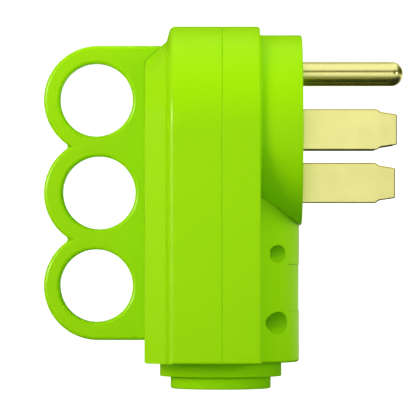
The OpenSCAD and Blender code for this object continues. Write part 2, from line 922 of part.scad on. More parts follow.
front_shell();
rear_shell();
cord_grommet();
front_clamp_jaw();
rear_clamp_jaw();
terminal_block();
hot_blade_x();
hot_blade_y();
neutral_blade();
ground_pin();
hot_lug_x();
hot_lug_y();
neutral_lug();
ground_lug();
hot_plate_x();
hot_plate_y();
neutral_plate();
ground_plate();
terminal_screws();
blade_rivets();
block_screws();
cover_screws();
clamp_screws();
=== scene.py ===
"""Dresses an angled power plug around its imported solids.

The plug has moulded lime shells with a finger-ring handle, a stepped rubber cord entry,
bevelled brass blades, a turned ground pin, and terminals and screws inside. Sizes in the
fields of the classes are millimetres unless they say otherwise, and Blender works in metres.
"""

import logging
import math
from abc import ABC, abstractmethod
from collections.abc import Iterable, Sequence
from dataclasses import dataclass
from enum import Enum
from itertools import pairwise

import bmesh
import bpy
from mathutils import Matrix, Vector

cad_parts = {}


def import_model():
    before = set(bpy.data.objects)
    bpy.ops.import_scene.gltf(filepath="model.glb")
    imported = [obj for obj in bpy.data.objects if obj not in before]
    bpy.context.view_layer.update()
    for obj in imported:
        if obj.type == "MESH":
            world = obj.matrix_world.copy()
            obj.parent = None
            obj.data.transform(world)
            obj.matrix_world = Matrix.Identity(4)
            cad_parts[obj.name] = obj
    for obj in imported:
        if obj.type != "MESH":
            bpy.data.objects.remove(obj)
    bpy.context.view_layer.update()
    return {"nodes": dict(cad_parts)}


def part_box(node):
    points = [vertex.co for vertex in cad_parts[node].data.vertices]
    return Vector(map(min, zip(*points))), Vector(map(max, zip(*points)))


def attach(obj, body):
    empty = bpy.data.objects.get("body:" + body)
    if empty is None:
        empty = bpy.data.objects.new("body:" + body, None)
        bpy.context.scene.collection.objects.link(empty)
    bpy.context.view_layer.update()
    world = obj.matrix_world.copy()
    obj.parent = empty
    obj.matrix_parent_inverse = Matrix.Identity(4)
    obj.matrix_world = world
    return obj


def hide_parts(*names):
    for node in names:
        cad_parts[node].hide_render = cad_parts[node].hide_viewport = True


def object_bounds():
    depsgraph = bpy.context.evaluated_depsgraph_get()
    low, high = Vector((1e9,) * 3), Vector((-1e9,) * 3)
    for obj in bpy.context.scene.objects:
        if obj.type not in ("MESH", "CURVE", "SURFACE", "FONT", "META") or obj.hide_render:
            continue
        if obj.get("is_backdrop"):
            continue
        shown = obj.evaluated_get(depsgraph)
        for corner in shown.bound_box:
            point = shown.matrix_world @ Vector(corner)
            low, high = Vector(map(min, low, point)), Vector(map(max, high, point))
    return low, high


LOG = logging.getLogger("power_plug")
BODY = "root"
MM = 0.001
WELD_REACH = 0.002 * MM
FLAT_ANGLE = math.radians(0.5)
SHARP_ANGLE = math.radians(32)
CUTTER_RISE = 0.3
# Face layer of the blades' chamfers, which carry painted shade.
CHAMFER_SHADE_LAYER = "painted_chamfer_shade"

Colour = tuple[float, float, float]
Fade = tuple[Colour, Colour]
Triple = tuple[float, float, float]
Span = tuple[float, float]
Ring = tuple[float, Sequence[float]]
Box = tuple[Vector, Vector]
Source = bpy.types.NodeSocket | float | Sequence[float]


class Slot(Enum):
    """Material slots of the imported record."""

    SHELL = "lime_shell"
    GROMMET = "lime_grommet"
    NYLON = "black_nylon"
    BLADE = "blade_brass"
    PIN = "pin_brass"
    LUG = "lug_brass"
    STEEL = "plated_steel"


class Drive(Enum):
    """Recesses that a screwdriver enters."""

    CROSS = "cross"
    SLOT = "slot"


class HeadEnd(Enum):
    """Direction along X in which a screw's head points."""

    FRONT = 1
    BACK = -1


@dataclass
class Wiring:
    """Adds nodes to one node tree and links them."""

    tree: bpy.types.NodeTree

    def feed(self, socket: bpy.types.NodeSocket, value: Source) -> None:
        """Links a socket to another one, or sets its value.

        Args:
            socket: Input to feed.
            value: Output to link it to, or its fixed value.
        """
        if isinstance(value, bpy.types.NodeSocket):
            self.tree.links.new(value, socket)
        else:
            socket.default_value = value

    def node(
        self, kind: str, inputs: dict[str | int, Source] | None = None, **settings: object
    ) -> bpy.types.Node:
        """Adds a shader node.

        Args:
            kind: Node type without its ShaderNode prefix.
            inputs: Values or sockets to feed, by input name or number.
            settings: Attributes of the node, such as operation.

        Returns:
            The new node.
        """
        made = self.tree.nodes.new("ShaderNode" + kind)
        for name, value in settings.items():
            setattr(made, name, value)
        for key, value in (inputs or {}).items():
            self.feed(made.inputs[key], value)
        return made

    def math(self, operation: str, *values: Source) -> bpy.types.NodeSocket:
        """Works out one number from others with a Math node."""
        return self.node("Math", dict(enumerate(values)), operation=operation).outputs[0]

    def span(
        self, value: Source, low: float, high: float, within: Span = (0.0, 1.0)
    ) -> bpy.types.NodeSocket:
        """Maps a number onto another range.

        Args:
            value: The number to map.
            low: What the lower end of within becomes.
            high: What the upper end of within becomes.
            within: Range of the number, beyond which it is clamped.

        Returns:
            Socket with the mapped number.
        """
        ends = {"From Min": within[0], "From Max": within[1], "To Min": low, "To Max": high}
        return self.node("MapRange", {"Value": value, **ends}).outputs["Result"]

    def blend(self, share: Source, first: Source, second: Source) -> bpy.types.NodeSocket:
        """Mixes two colours.

        Args:
            share: Share of the second colour, from 0 to 1.
            first: Colour socket, or a linear colour.
            second: Colour socket, or a linear colour.

        Returns:
            Socket with the mixed colour.
        """
        mix = self.node("Mix", {"Factor": share}, data_type="RGBA")
        sockets = [socket for socket in mix.inputs if socket.type == "RGBA"]
        for socket, colour in zip(sockets, (first, second), strict=True):
            linked = isinstance(colour, bpy.types.NodeSocket)
            self.feed(socket, colour if linked else (*colour, 1.0))
        return next(socket for socket in mix.outputs if socket.type == "RGBA")

    def noise(self, place: Source, scale: Source, detail: float) -> bpy.types.NodeSocket:
        """Puts a noise of that scale and detail at a place."""
        return self.node("TexNoise", {"Vector": place, "Scale": scale, "Detail": detail}).outputs[0]

    def effect(
        self, group: bpy.types.NodeTree, inputs: dict[str | int, Source]
    ) -> bpy.types.bpy_prop_collection:
        """Places a shared node group with these inputs, and returns its outputs."""
        return self.node("Group", inputs, node_tree=group).outputs


class Effects:
    """Node groups that several finishes share.

    A band is the part of a noise or a mask that is stretched over its whole range.
    """

    RAYS: int = 6
    PEEL_SHARE: float = 0.6
    DRIFT_BAND: Span = (0.35, 0.65)
    NOISE_BAND: Span = (0.3, 0.7)
    EDGE_BAND: Span = (0.8, 1.0)
    CREASE_BAND: Span = (0.4, 0.95)

    def __init__(self) -> None:
        """Builds each group once."""
        self.mould_skin = self._mould_skin()
        self.edge_band = self._edge_band()
        self.crease_shade = self._crease_shade()
        self.metal_grain = self._metal_grain()

    @staticmethod
    def _group(
        name: str, inputs: dict[str, str], outputs: dict[str, str]
    ) -> tuple[Wiring, bpy.types.Node, bpy.types.Node]:
        """Starts a node group.

        Args:
            name: Name of the group.
            inputs: Kind of socket, Float or Vector, by input name.
            outputs: Kind of socket by output name.

        Returns:
            The group's wiring, its input node and its output node.
        """
        tree = bpy.data.node_groups.new(name, "ShaderNodeTree")
        for way, sockets in (("INPUT", inputs), ("OUTPUT", outputs)):
            for label, kind in sockets.items():
                tree.interface.new_socket(name=label, in_out=way, socket_type="NodeSocket" + kind)
        return Wiring(tree), tree.nodes.new("NodeGroupInput"), tree.nodes.new("NodeGroupOutput")

    def _mould_skin(self) -> bpy.types.NodeTree:
        """Builds the skin of a moulded piece.

        Returns:
            Group with the height of a fine grain over a soft orange peel, a slow drift of
            the colour, and patches of gloss.
        """
        wiring, given, made = self._group(
            "mould_skin",
            {"Grain": "Float", "Peel": "Float", "Flow": "Float"},
            {"Height": "Float", "Drift": "Float", "Gloss": "Float"},
        )
        place = wiring.node("TexCoord").outputs["Object"]
        grain = wiring.noise(place, given.outputs["Grain"], detail=3.0)
        peel = wiring.noise(place, given.outputs["Peel"], detail=1.0)
        flow = wiring.noise(place, given.outputs["Flow"], detail=2.0)
        patches = wiring.noise(place, given.outputs["Peel"], detail=4.0)
        height = wiring.math("MULTIPLY_ADD", peel, self.PEEL_SHARE, grain)
        wiring.feed(made.inputs["Height"], height)
        wiring.feed(made.inputs["Drift"], wiring.span(flow, 0.0, 1.0, self.DRIFT_BAND))
        wiring.feed(made.inputs["Gloss"], wiring.span(patches, 0.0, 1.0, self.NOISE_BAND))
        return wiring.tree

    def _edge_band(self) -> bpy.types.NodeTree:
        """Builds the soft band along edges.

        Returns:
            Group with a mask of the edges and a normal that rounds them.
        """
        wiring, given, made = self._group(
            "edge_band", {"Radius": "Float"}, {"Mask": "Float", "Normal": "Vector"}
        )
        radius = {"Radius": given.outputs["Radius"]}
        rounded = wiring.node("Bevel", radius, samples=self.RAYS).outputs["Normal"]
        plain = wiring.node("NewGeometry").outputs["Normal"]
        both = {0: rounded, 1: plain}
        agree = wiring.node("VectorMath", both, operation="DOT_PRODUCT").outputs["Value"]
        wiring.feed(made.inputs["Mask"], wiring.span(agree, 1.0, 0.0, self.EDGE_BAND))
        wiring.feed(made.inputs["Normal"], rounded)
        return wiring.tree

    def _crease_shade(self) -> bpy.types.NodeTree:
        """Builds the painted shade in narrow creases.

        Returns:
            Group with a mask of the creases.
        """
        wiring, given, made = self._group("crease_shade", {"Reach": "Float"}, {"Mask": "Float"})
        reach = {"Distance": given.outputs["Reach"]}
        look = wiring.node("AmbientOcclusion", reach, samples=self.RAYS, only_local=True)
        shade = wiring.span(look.outputs["AO"], 1.0, 0.0, self.CREASE_BAND)
        wiring.feed(made.inputs["Mask"], shade)
        return wiring.tree

    def _metal_grain(self) -> bpy.types.NodeTree:
        """Builds the drawn or turned grain of a metal.

        Returns:
            Group with the height of the grain, its shade, and a cloudy mottle.
        """
        wiring, given, made = self._group(
            "metal_grain",
            {"Stretch": "Vector", "Cloud": "Float"},
            {"Height": "Float", "Shade": "Float", "Mottle": "Float"},
        )
        place = wiring.node("TexCoord").outputs["Object"]
        drawn = {0: place, 1: given.outputs["Stretch"]}
        along = wiring.node("VectorMath", drawn, operation="MULTIPLY").outputs["Vector"]
        lines = wiring.noise(along, 1.0, detail=3.0)
        cloud = wiring.noise(place, given.outputs["Cloud"], detail=3.0)
        wiring.feed(made.inputs["Height"], lines)
        wiring.feed(made.inputs["Shade"], wiring.span(lines, 0.0, 1.0, self.NOISE_BAND))
        wiring.feed(made.inputs["Mottle"], wiring.span(cloud, 0.0, 1.0, self.NOISE_BAND))
        return wiring.tree


class Finish(ABC):
    """A finish that becomes one material."""

    slot: Slot
    roughness: Span
    grain_depth: float
    grain_strength: float

    def start(self) -> tuple[bpy.types.Material, Wiring, bpy.types.Node]:
        """Starts the material.

        Returns:
            The new material, its wiring and its Principled shader.
        """
        material = bpy.data.materials.new(self.slot.value)
        material.use_nodes = True
        wiring = Wiring(material.node_tree)
        return material, wiring, material.node_tree.nodes["Principled BSDF"]

    def surface(
        self,
        wiring: Wiring,
        shader: bpy.types.Node,
        colour: Source,
        gloss: Source,
        height: Source,
        normal: Source,
    ) -> None:
        """Feeds the shader with what changes over the surface.

        Args:
            wiring: The material's wiring.
            shader: Its Principled shader.
            colour: Base colour.
            gloss: Mask that runs through the range of roughness.
            height: Height of the grain.
            normal: Normal that the grain stands on.
        """
        bump = {
            "Strength": self.grain_strength,
            "Distance": self.grain_depth * MM,
            "Height": height,
            "Normal": normal,
        }
        wiring.feed(shader.inputs["Base Color"], colour)
        wiring.feed(shader.inputs["Roughness"], wiring.span(gloss, *self.roughness))
        wiring.feed(shader.inputs["Normal"], wiring.node("Bump", bump).outputs["Normal"])

    @abstractmethod
    def material(self, effects: Effects) -> bpy.types.Material:
        """Builds the material from the shared effects."""


@dataclass(frozen=True)
class MouldedFinish(Finish):
    """Moulded plastic or rubber: a satin skin with painted highlight on edges, painted shade in creases.

    The grain, peel and flow are counted per metre, and the colours are linear.
    """

    slot: Slot
    colour: Colour
    drift_colour: Colour
    edge_colour: Colour
    edge_share: float
    edge_radius: float
    crease_colour: Colour
    roughness: Span
    specular: float
    crease_share: float = 0.7
    crease_reach: float = 0.6
    grain: float = 2200.0
    peel: float = 260.0
    flow: float = 22.0
    grain_depth: float = 0.02
    grain_strength: float = 0.05

    def material(self, effects: Effects) -> bpy.types.Material:
        """Builds the material.

        Args:
            effects: The shared node groups.

        Returns:
            The material of this finish.
        """
        material, wiring, shader = self.start()
        scales = {"Grain": self.grain, "Peel": self.peel, "Flow": self.flow}
        skin = wiring.effect(effects.mould_skin, scales)
        edge = wiring.effect(effects.edge_band, {"Radius": self.edge_radius * MM})
        crease = wiring.effect(effects.crease_shade, {"Reach": self.crease_reach * MM})
        body = wiring.blend(skin["Drift"], self.colour, self.drift_colour)
        # Paler edge colour laid over the edge mask: a painted highlight.
        rim = wiring.math("MULTIPLY", edge["Mask"], self.edge_share)
        rimmed = wiring.blend(rim, body, self.edge_colour)
        # Darker colour where creases are occluded: painted shade.
        shade = wiring.math("MULTIPLY", crease["Mask"], self.crease_share)
        colour = wiring.blend(shade, rimmed, self.crease_colour)
        self.surface(wiring, shader, colour, skin["Gloss"], skin["Height"], edge["Normal"])
        shader.inputs["Specular IOR Level"].default_value = self.specular
        return material


@dataclass(frozen=True)
class MetalFinish(Finish):
    """Bare or plated metal with a grain, a cloudy mottle and edges of another colour.

    The darker edges of the blades and pin are painted shade, and the paler edges of the lugs
    and steel are wear. The stretch and cloud are counted per metre, and the colours are linear.
    """

    slot: Slot
    colour: Colour
    shade_colour: Colour
    edge_colour: Colour
    edge_share: float
    edge_radius: float
    roughness: Span
    stretch: Triple
    cloud: float = 160.0
    shade_share: float = 0.5
    grain_depth: float = 0.01
    grain_strength: float = 0.2

    def material(self, effects: Effects) -> bpy.types.Material:
        """Builds the material.

        Args:
            effects: The shared node groups.

        Returns:
            The material of this finish.
        """
        material, wiring, shader = self.start()
        scales = {"Stretch": self.stretch, "Cloud": self.cloud}
        grain = wiring.effect(effects.metal_grain, scales)
        edge = wiring.effect(effects.edge_band, {"Radius": self.edge_radius * MM})
        mottled = wiring.math("MULTIPLY", grain["Shade"], grain["Mottle"])
        shade = wiring.math("MULTIPLY", mottled, self.shade_share)
        body = wiring.blend(shade, self.colour, self.shade_colour)
        # Edge colour over the edge mask and the chamfers: painted shade on blades and pin, wear on lugs
        # and steel.
        chamfer_shade = wiring.node("Attribute", attribute_name=CHAMFER_SHADE_LAYER).outputs["Fac"]
        rim = wiring.math("MULTIPLY_ADD", edge["Mask"], self.edge_share, chamfer_shade)
        colour = wiring.blend(rim, body, self.edge_colour)
        self.surface(wiring, shader, colour, grain["Mottle"], grain["Height"], edge["Normal"])
        shader.inputs["Metallic"].default_value = 1.0
        return material


# Edge colours are painted highlight on moulded finishes, painted shade on blade and pin, wear on lug and
# steel; crease colours are painted shade.
FINISHES: tuple[Finish, ...] = (
    MouldedFinish(
        slot=Slot.SHELL,
        colour=(0.40, 0.78, 0.002),
        drift_colour=(0.39, 0.768, 0.002),
        edge_colour=(0.43, 0.82, 0.02),
        edge_share=0.5,
        edge_radius=0.2,
        crease_colour=(0.13, 0.33, 0.001),
        roughness=(0.285, 0.35),
        specular=0.15,
    ),
    MouldedFinish(
        slot=Slot.GROMMET,
        colour=(0.43, 0.87, 0.002),
        drift_colour=(0.42, 0.855, 0.002),
        edge_colour=(0.44, 0.87, 0.01),
        edge_share=0.4,
        edge_radius=0.3,
        crease_colour=(0.12, 0.3, 0.001),
        roughness=(0.42, 0.55),
        specular=0.1,
        grain=3000.0,
    ),
    MouldedFinish(
        slot=Slot.NYLON,
        colour=(0.012, 0.012, 0.013),
        drift_colour=(0.016, 0.016, 0.018),
        edge_colour=(0.03, 0.03, 0.032),
        edge_share=0.6,
        edge_radius=0.3,
        crease_colour=(0.004, 0.004, 0.004),
        roughness=(0.45, 0.6),
        specular=0.4,
        grain=3500.0,
        grain_strength=0.3,
    ),
    MetalFinish(
        slot=Slot.BLADE,
        colour=(0.84, 0.81, 0.37),
        shade_colour=(0.80, 0.77, 0.34),
        edge_colour=(0.46, 0.37, 0.03),
        edge_share=0.5,
        edge_radius=0.2,
        roughness=(0.28, 0.32),
        stretch=(120.0, 2600.0, 2600.0),
        shade_share=0.25,
        grain_strength=0.08,
    ),
    MetalFinish(
        slot=Slot.PIN,
        colour=(0.82, 0.79, 0.36),
        shade_colour=(0.78, 0.74, 0.32),
        edge_colour=(0.60, 0.56, 0.18),
        edge_share=0.4,
        edge_radius=0.2,
        roughness=(0.24, 0.265),
        stretch=(5200.0, 60.0, 60.0),
        shade_share=0.3,
        grain_strength=0.03,
    ),
    MetalFinish(
        slot=Slot.LUG,
        colour=(0.58, 0.43, 0.14),
        shade_colour=(0.46, 0.32, 0.09),
        edge_colour=(0.70, 0.55, 0.22),
        edge_share=0.7,
        edge_radius=0.3,
        roughness=(0.28, 0.42),
        stretch=(300.0, 300.0, 4200.0),
        shade_share=0.8,
        grain_strength=0.35,
    ),
    MetalFinish(
        slot=Slot.STEEL,
        colour=(0.55, 0.56, 0.58),
        shade_colour=(0.42, 0.43, 0.46),
        edge_colour=(0.68, 0.69, 0.70),
        edge_share=0.6,
        edge_radius=0.15,
        roughness=(0.285, 0.42),
        stretch=(900.0, 900.0, 900.0),
        cloud=420.0,
        shade_share=0.9,
    ),
)


def welded(node: bpy.types.Object) -> bmesh.types.BMesh:
    """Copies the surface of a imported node, with its split corners joined.

    Args:
        node: Object of the node.

    Returns:
        A closed mesh in metres, with no normals of its own.
    """
    mesh = bmesh.new()
    points = [mesh.verts.new(point.co) for point in node.data.vertices]
    for face in node.data.polygons:
        mesh.faces.new([points[i] for i in face.vertices])
    bmesh.ops.remove_doubles(mesh, verts=mesh.verts, dist=WELD_REACH)
    return mesh


def solid_boxes(node: bpy.types.Object) -> list[Box]:
    """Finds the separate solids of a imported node.

    Args:
        node: Object of the node.

    Returns:
        The lowest and highest corner of each solid, in metres.
    """
    mesh = welded(node)
    left = set(mesh.verts)
    boxes = []
    while left:
        front = [left.pop()]
        solid = []
        while front:
            corner = front.pop()
            solid.append(corner.co.copy())
            for edge in corner.link_edges:
                other = edge.other_vert(corner)
                if other in left:
                    left.remove(other)
                    front.append(other)
        low = Vector(min(point[i] for point in solid) for i in range(3))
        high = Vector(max(point[i] for point in solid) for i in range(3))
        boxes.append((low, high))
    mesh.free()
    return sorted(boxes, key=lambda box: tuple(box[0]))


def lathed(rings: Sequence[Ring]) -> bmesh.types.BMesh:
    """Skins rings of points about the Z axis and closes both ends.

    Args:
        rings: Height of each ring, and its radius at each point round the axis.

    Returns:
        A closed mesh in the units of the rings.
    """
    mesh = bmesh.new()
    rows = []
    for height, radii in rings:
        turn = math.tau / len(radii)
        rows.append([
            mesh.verts.new((radius * math.cos(i * turn), radius * math.sin(i * turn), height))
            for i, radius in enumerate(radii)
        ])
    for low, high in pairwise(rows):
        for i in range(len(low)):
            mesh.faces.new((low[i - 1], low[i], high[i], high[i - 1]))
    for row in (rows[0], rows[-1]):
        mesh.faces.new(row)
    bmesh.ops.recalc_face_normals(mesh, faces=mesh.faces)
    return mesh


def even(outline: Iterable[Span], sides: int) -> list[Ring]:
    """Turns heights and radii of an outline into round rings of so many points."""
    return [(height, [radius] * sides) for height, radius in outline]


def arc(centre: Span, radius: float, start: float, end: float, steps: int) -> list[Span]:
    """Lays points along an arc.

    Args:
        centre: Height and radius at the arc's centre.
        radius: Radius of the arc.
        start: Angle of its first point from the axis, in degrees.
        end: Angle of its last point.
        steps: Number of steps between them.

    Returns:
        Height and radius of each point.
    """
    angles = [math.radians(start + (end - start) * i / steps) for i in range(steps + 1)]
    return [
        (centre[0] + radius * math.cos(angle), centre[1] + radius * math.sin(angle))
        for angle in angles
    ]


def stood(mesh: bmesh.types.BMesh, foot: Vector, along: Vector) -> bmesh.types.BMesh:
    """Stands a mesh in millimetres at its place.

    Args:
        mesh: Mesh about the Z axis, changed in place.
        foot: Where its origin goes, in metres.
        along: Direction that its Z axis takes.

    Returns:
        The same mesh, in metres.
    """
    turn = Vector((0, 0, 1)).rotation_difference(along).to_matrix().to_4x4()
    mesh.transform(Matrix.Translation(foot) @ turn @ Matrix.Scale(MM, 4))
    return mesh


def joined(meshes: Iterable[bmesh.types.BMesh]) -> bmesh.types.BMesh:
    """Gathers separate meshes into one.

    Args:
        meshes: Meshes to gather, freed afterwards.

    Returns:
        One mesh with all of them.
    """
    whole = bmesh.new()
    for mesh in meshes:
        passing = bpy.data.meshes.new("passing")
        mesh.to_mesh(passing)
        mesh.free()
        whole.from_mesh(passing)
        bpy.data.meshes.remove(passing)
    return whole


def carved(mesh: bmesh.types.BMesh, cutters: Iterable[bmesh.types.BMesh]) -> bmesh.types.BMesh:
    """Cuts shapes out of a mesh.

    Args:
        mesh: Closed mesh to cut, freed afterwards.
        cutters: Closed meshes to take away, freed afterwards.

    Returns:
        The mesh that is left.
    """
    spare = []
    for name, shape in (("blank", mesh), *(("cutter", cutter) for cutter in cutters)):
        data = bpy.data.meshes.new(name)
        shape.to_mesh(data)
        shape.free()
        spare.append(bpy.data.objects.new(name, data))
        bpy.context.scene.collection.objects.link(spare[-1])
    blank = spare[0]
    for cutter in spare[1:]:
        cut = blank.modifiers.new("cut", "BOOLEAN")
        cut.operation = "DIFFERENCE"
        cut.solver = "EXACT"
        cut.object = cutter
    left = bpy.data.meshes.new_from_object(blank.evaluated_get(bpy.context.evaluated_depsgraph_get()))
    result = bmesh.new()
    result.from_mesh(left)
    bpy.data.meshes.remove(left)
    for item in spare:
        bpy.data.meshes.remove(item.data)
    return result


def wedge(width: float, span: float, depth: float, narrowing: float) -> bmesh.types.BMesh:
    """Makes the bar that cuts one wing of a screwdriver recess.

    Args:
        width: Width of the bar at the top of the head.
        span: Length of the bar across the head.
        depth: Depth of the recess below the top, which lies at height 0.
        narrowing: What the bar loses in width and span by its lower end.

    Returns:
        A closed mesh that stands a little out of the head.
    """
    mesh = bmesh.new()
    slope = narrowing / depth
    quarters = [(1, 1), (-1, 1), (-1, -1), (1, -1)]
    rows = []
    for height in (-CUTTER_RISE * depth, depth):
        half = [(size - slope * height) / 2 for size in (width, span)]
        rows.append([mesh.verts.new((x * half[0], y * half[1], height)) for x, y in quarters])
    for i in range(len(quarters)):
        mesh.faces.new((rows[0][i - 1], rows[0][i], rows[1][i], rows[1][i - 1]))
    for row in rows:
        mesh.faces.new(row)
    bmesh.ops.recalc_face_normals(mesh, faces=mesh.faces)
    return mesh


@dataclass
class Bench:
    """What each sub-assembly works with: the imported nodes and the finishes."""

    nodes: dict[str, bpy.types.Object]
    materials: dict[Slot, bpy.types.Material]

    def dress(self, piece: bpy.types.Object, slot: Slot) -> bpy.types.Object:
        """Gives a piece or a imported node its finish.

        Args:
            piece: Object to dress.
            slot: Its finish.

        Returns:
            The same object.
        """
        piece.data.materials.clear()
        piece.data.materials.append(self.materials[slot])
        return piece

    def keep(self, slot: Slot, *names: str) -> list[bpy.types.Object]:
        """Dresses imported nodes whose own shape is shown."""
        return [self.dress(self.nodes[name], slot) for name in names]

    def smooth(self, slot: Slot, *names: str) -> list[bpy.types.Object]:
        """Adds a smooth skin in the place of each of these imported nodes."""
        return [self.add(f"{name}_skin", welded(self.nodes[name]), slot, name) for name in names]

    def add(
        self, name: str, mesh: bmesh.types.BMesh, slot: Slot, stands_for: str
    ) -> bpy.types.Object:
        """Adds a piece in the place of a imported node.

        Args:
            name: Name of the piece.
            mesh: Its mesh in metres, freed afterwards.
            slot: Its finish.
            stands_for: Name of the node that it is shown for.

        Returns:
            The new piece.
        """
        data = bpy.data.meshes.new(name)
        mesh.to_mesh(data)
        mesh.free()
        data.shade_smooth()
        data.set_sharp_from_angle(angle=SHARP_ANGLE)
        piece = bpy.data.objects.new(name, data)
        bpy.context.scene.collection.objects.link(piece)
        piece.modifiers.new("even_normals", "WEIGHTED_NORMAL").keep_sharp = True
        self.dress(piece, slot)
        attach(piece, BODY)
        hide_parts(stands_for)
        return piece


class SubAssembly(ABC):
    """Pieces of the plug that are built and dressed together."""

    @abstractmethod
    def build(self, bench: Bench) -> list[bpy.types.Object]:
        """Builds and dresses the pieces, and returns them."""


Built = dict[type[SubAssembly], list[bpy.types.Object]]


@dataclass
class BodyShells(SubAssembly):
    """The two moulded halves of the body, the rear one with its finger rings."""

    halves: tuple[str, ...] = ("front_shell", "rear_shell")

    def build(self, bench: Bench) -> list[bpy.types.Object]:
        """Smooths both halves, and returns their skins."""
        return bench.smooth(Slot.SHELL, *self.halves)


@dataclass
class CordEntry(SubAssembly):
    """The stepped grommet under the body and the clamp above it."""

    grommet: str = "cord_grommet"
    jaws: tuple[str, ...] = ("front_clamp_jaw", "rear_clamp_jaw")

    def build(self, bench: Bench) -> list[bpy.types.Object]:
        """Smooths the grommet and dresses the jaws, and returns all three."""
        return bench.smooth(Slot.GROMMET, self.grommet) + bench.keep(Slot.NYLON, *self.jaws)


@dataclass
class Prongs(SubAssembly):
    """Three flat blades with broken edges, and the turned ground pin."""

    blades: tuple[str, ...] = ("hot_blade_x", "hot_blade_y", "neutral_blade")
    edge: float = 0.26
    edge_steps: int = 1
    pin: str = "ground_pin"
    pin_radius: float = 3.7
    pin_length: float = 30.3
    tip_radius: float = 3.4
    relief: float = 0.3
    collar_step: float = 1.5
    collar_length: float = 2.0
    wall: float = 4.0
    tail_radius: float = 3.0
    edge_break: float = 0.2
    sides: int = 96
    dome_steps: int = 20

    def build(self, bench: Bench) -> list[bpy.types.Object]:
        """Builds the blades and the pin.

        Args:
            bench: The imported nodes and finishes.

        Returns:
            The four prongs.
        """
        prongs = [
            bench.add(f"{name}_ground", self.blade(bench.nodes[name]), Slot.BLADE, name)
            for name in self.blades
        ]
        return [*prongs, bench.add(f"{self.pin}_turned", self.turned_pin(), Slot.PIN, self.pin)]

    def blade(self, node: bpy.types.Object) -> bmesh.types.BMesh:
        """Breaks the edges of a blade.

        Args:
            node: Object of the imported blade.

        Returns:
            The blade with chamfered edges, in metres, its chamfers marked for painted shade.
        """
        mesh = welded(node)
        chamfer_shade = mesh.faces.layers.float.new(CHAMFER_SHADE_LAYER)
        bmesh.ops.dissolve_limit(
            mesh, angle_limit=FLAT_ANGLE, verts=mesh.verts, edges=mesh.edges
        )
        sharp = [edge for edge in mesh.edges if edge.calc_face_angle(0.0) > SHARP_ANGLE]
        cut = bmesh.ops.bevel(
            mesh,
            geom=sharp,
            offset=self.edge * MM,
            offset_type="OFFSET",
            segments=self.edge_steps,
            profile=0.5,
            affect="EDGES",
        )
        # Marks the chamfers for painted shade.
        for face in cut["faces"]:
            face[chamfer_shade] = 1.0
        return mesh

    def turned_pin(self) -> bmesh.types.BMesh:
        """Turns the pin from its tail to its domed tip.

        Returns:
            The pin at its place, in metres.
        """
        low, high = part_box(self.pin)
        foot = Vector((low.x, (low.y + high.y) / 2, (low.z + high.z) / 2))
        tip = (high.x - low.x) / MM
        face = tip - self.pin_length
        back = face - self.wall
        collar = self.pin_radius + self.collar_step
        bevel = self.edge_break
        lead = self.pin_radius - self.tip_radius
        outline = [
            (0.0, self.tail_radius - bevel),
            (bevel, self.tail_radius),
            (back - self.collar_length, self.tail_radius),
            (back - self.collar_length, collar - bevel),
            (back - self.collar_length + bevel, collar),
            (back - bevel, collar),
            (back, collar - bevel),
            (back, self.pin_radius - self.relief),
            (face, self.pin_radius - self.relief),
            (face, self.pin_radius - bevel),
            (face + bevel, self.pin_radius),
            *arc((tip - self.tip_radius, lead), self.tip_radius, 90.0, 0.0, self.dome_steps),
        ]
        return stood(lathed(even(outline, self.sides)), foot, Vector((1, 0, 0)))


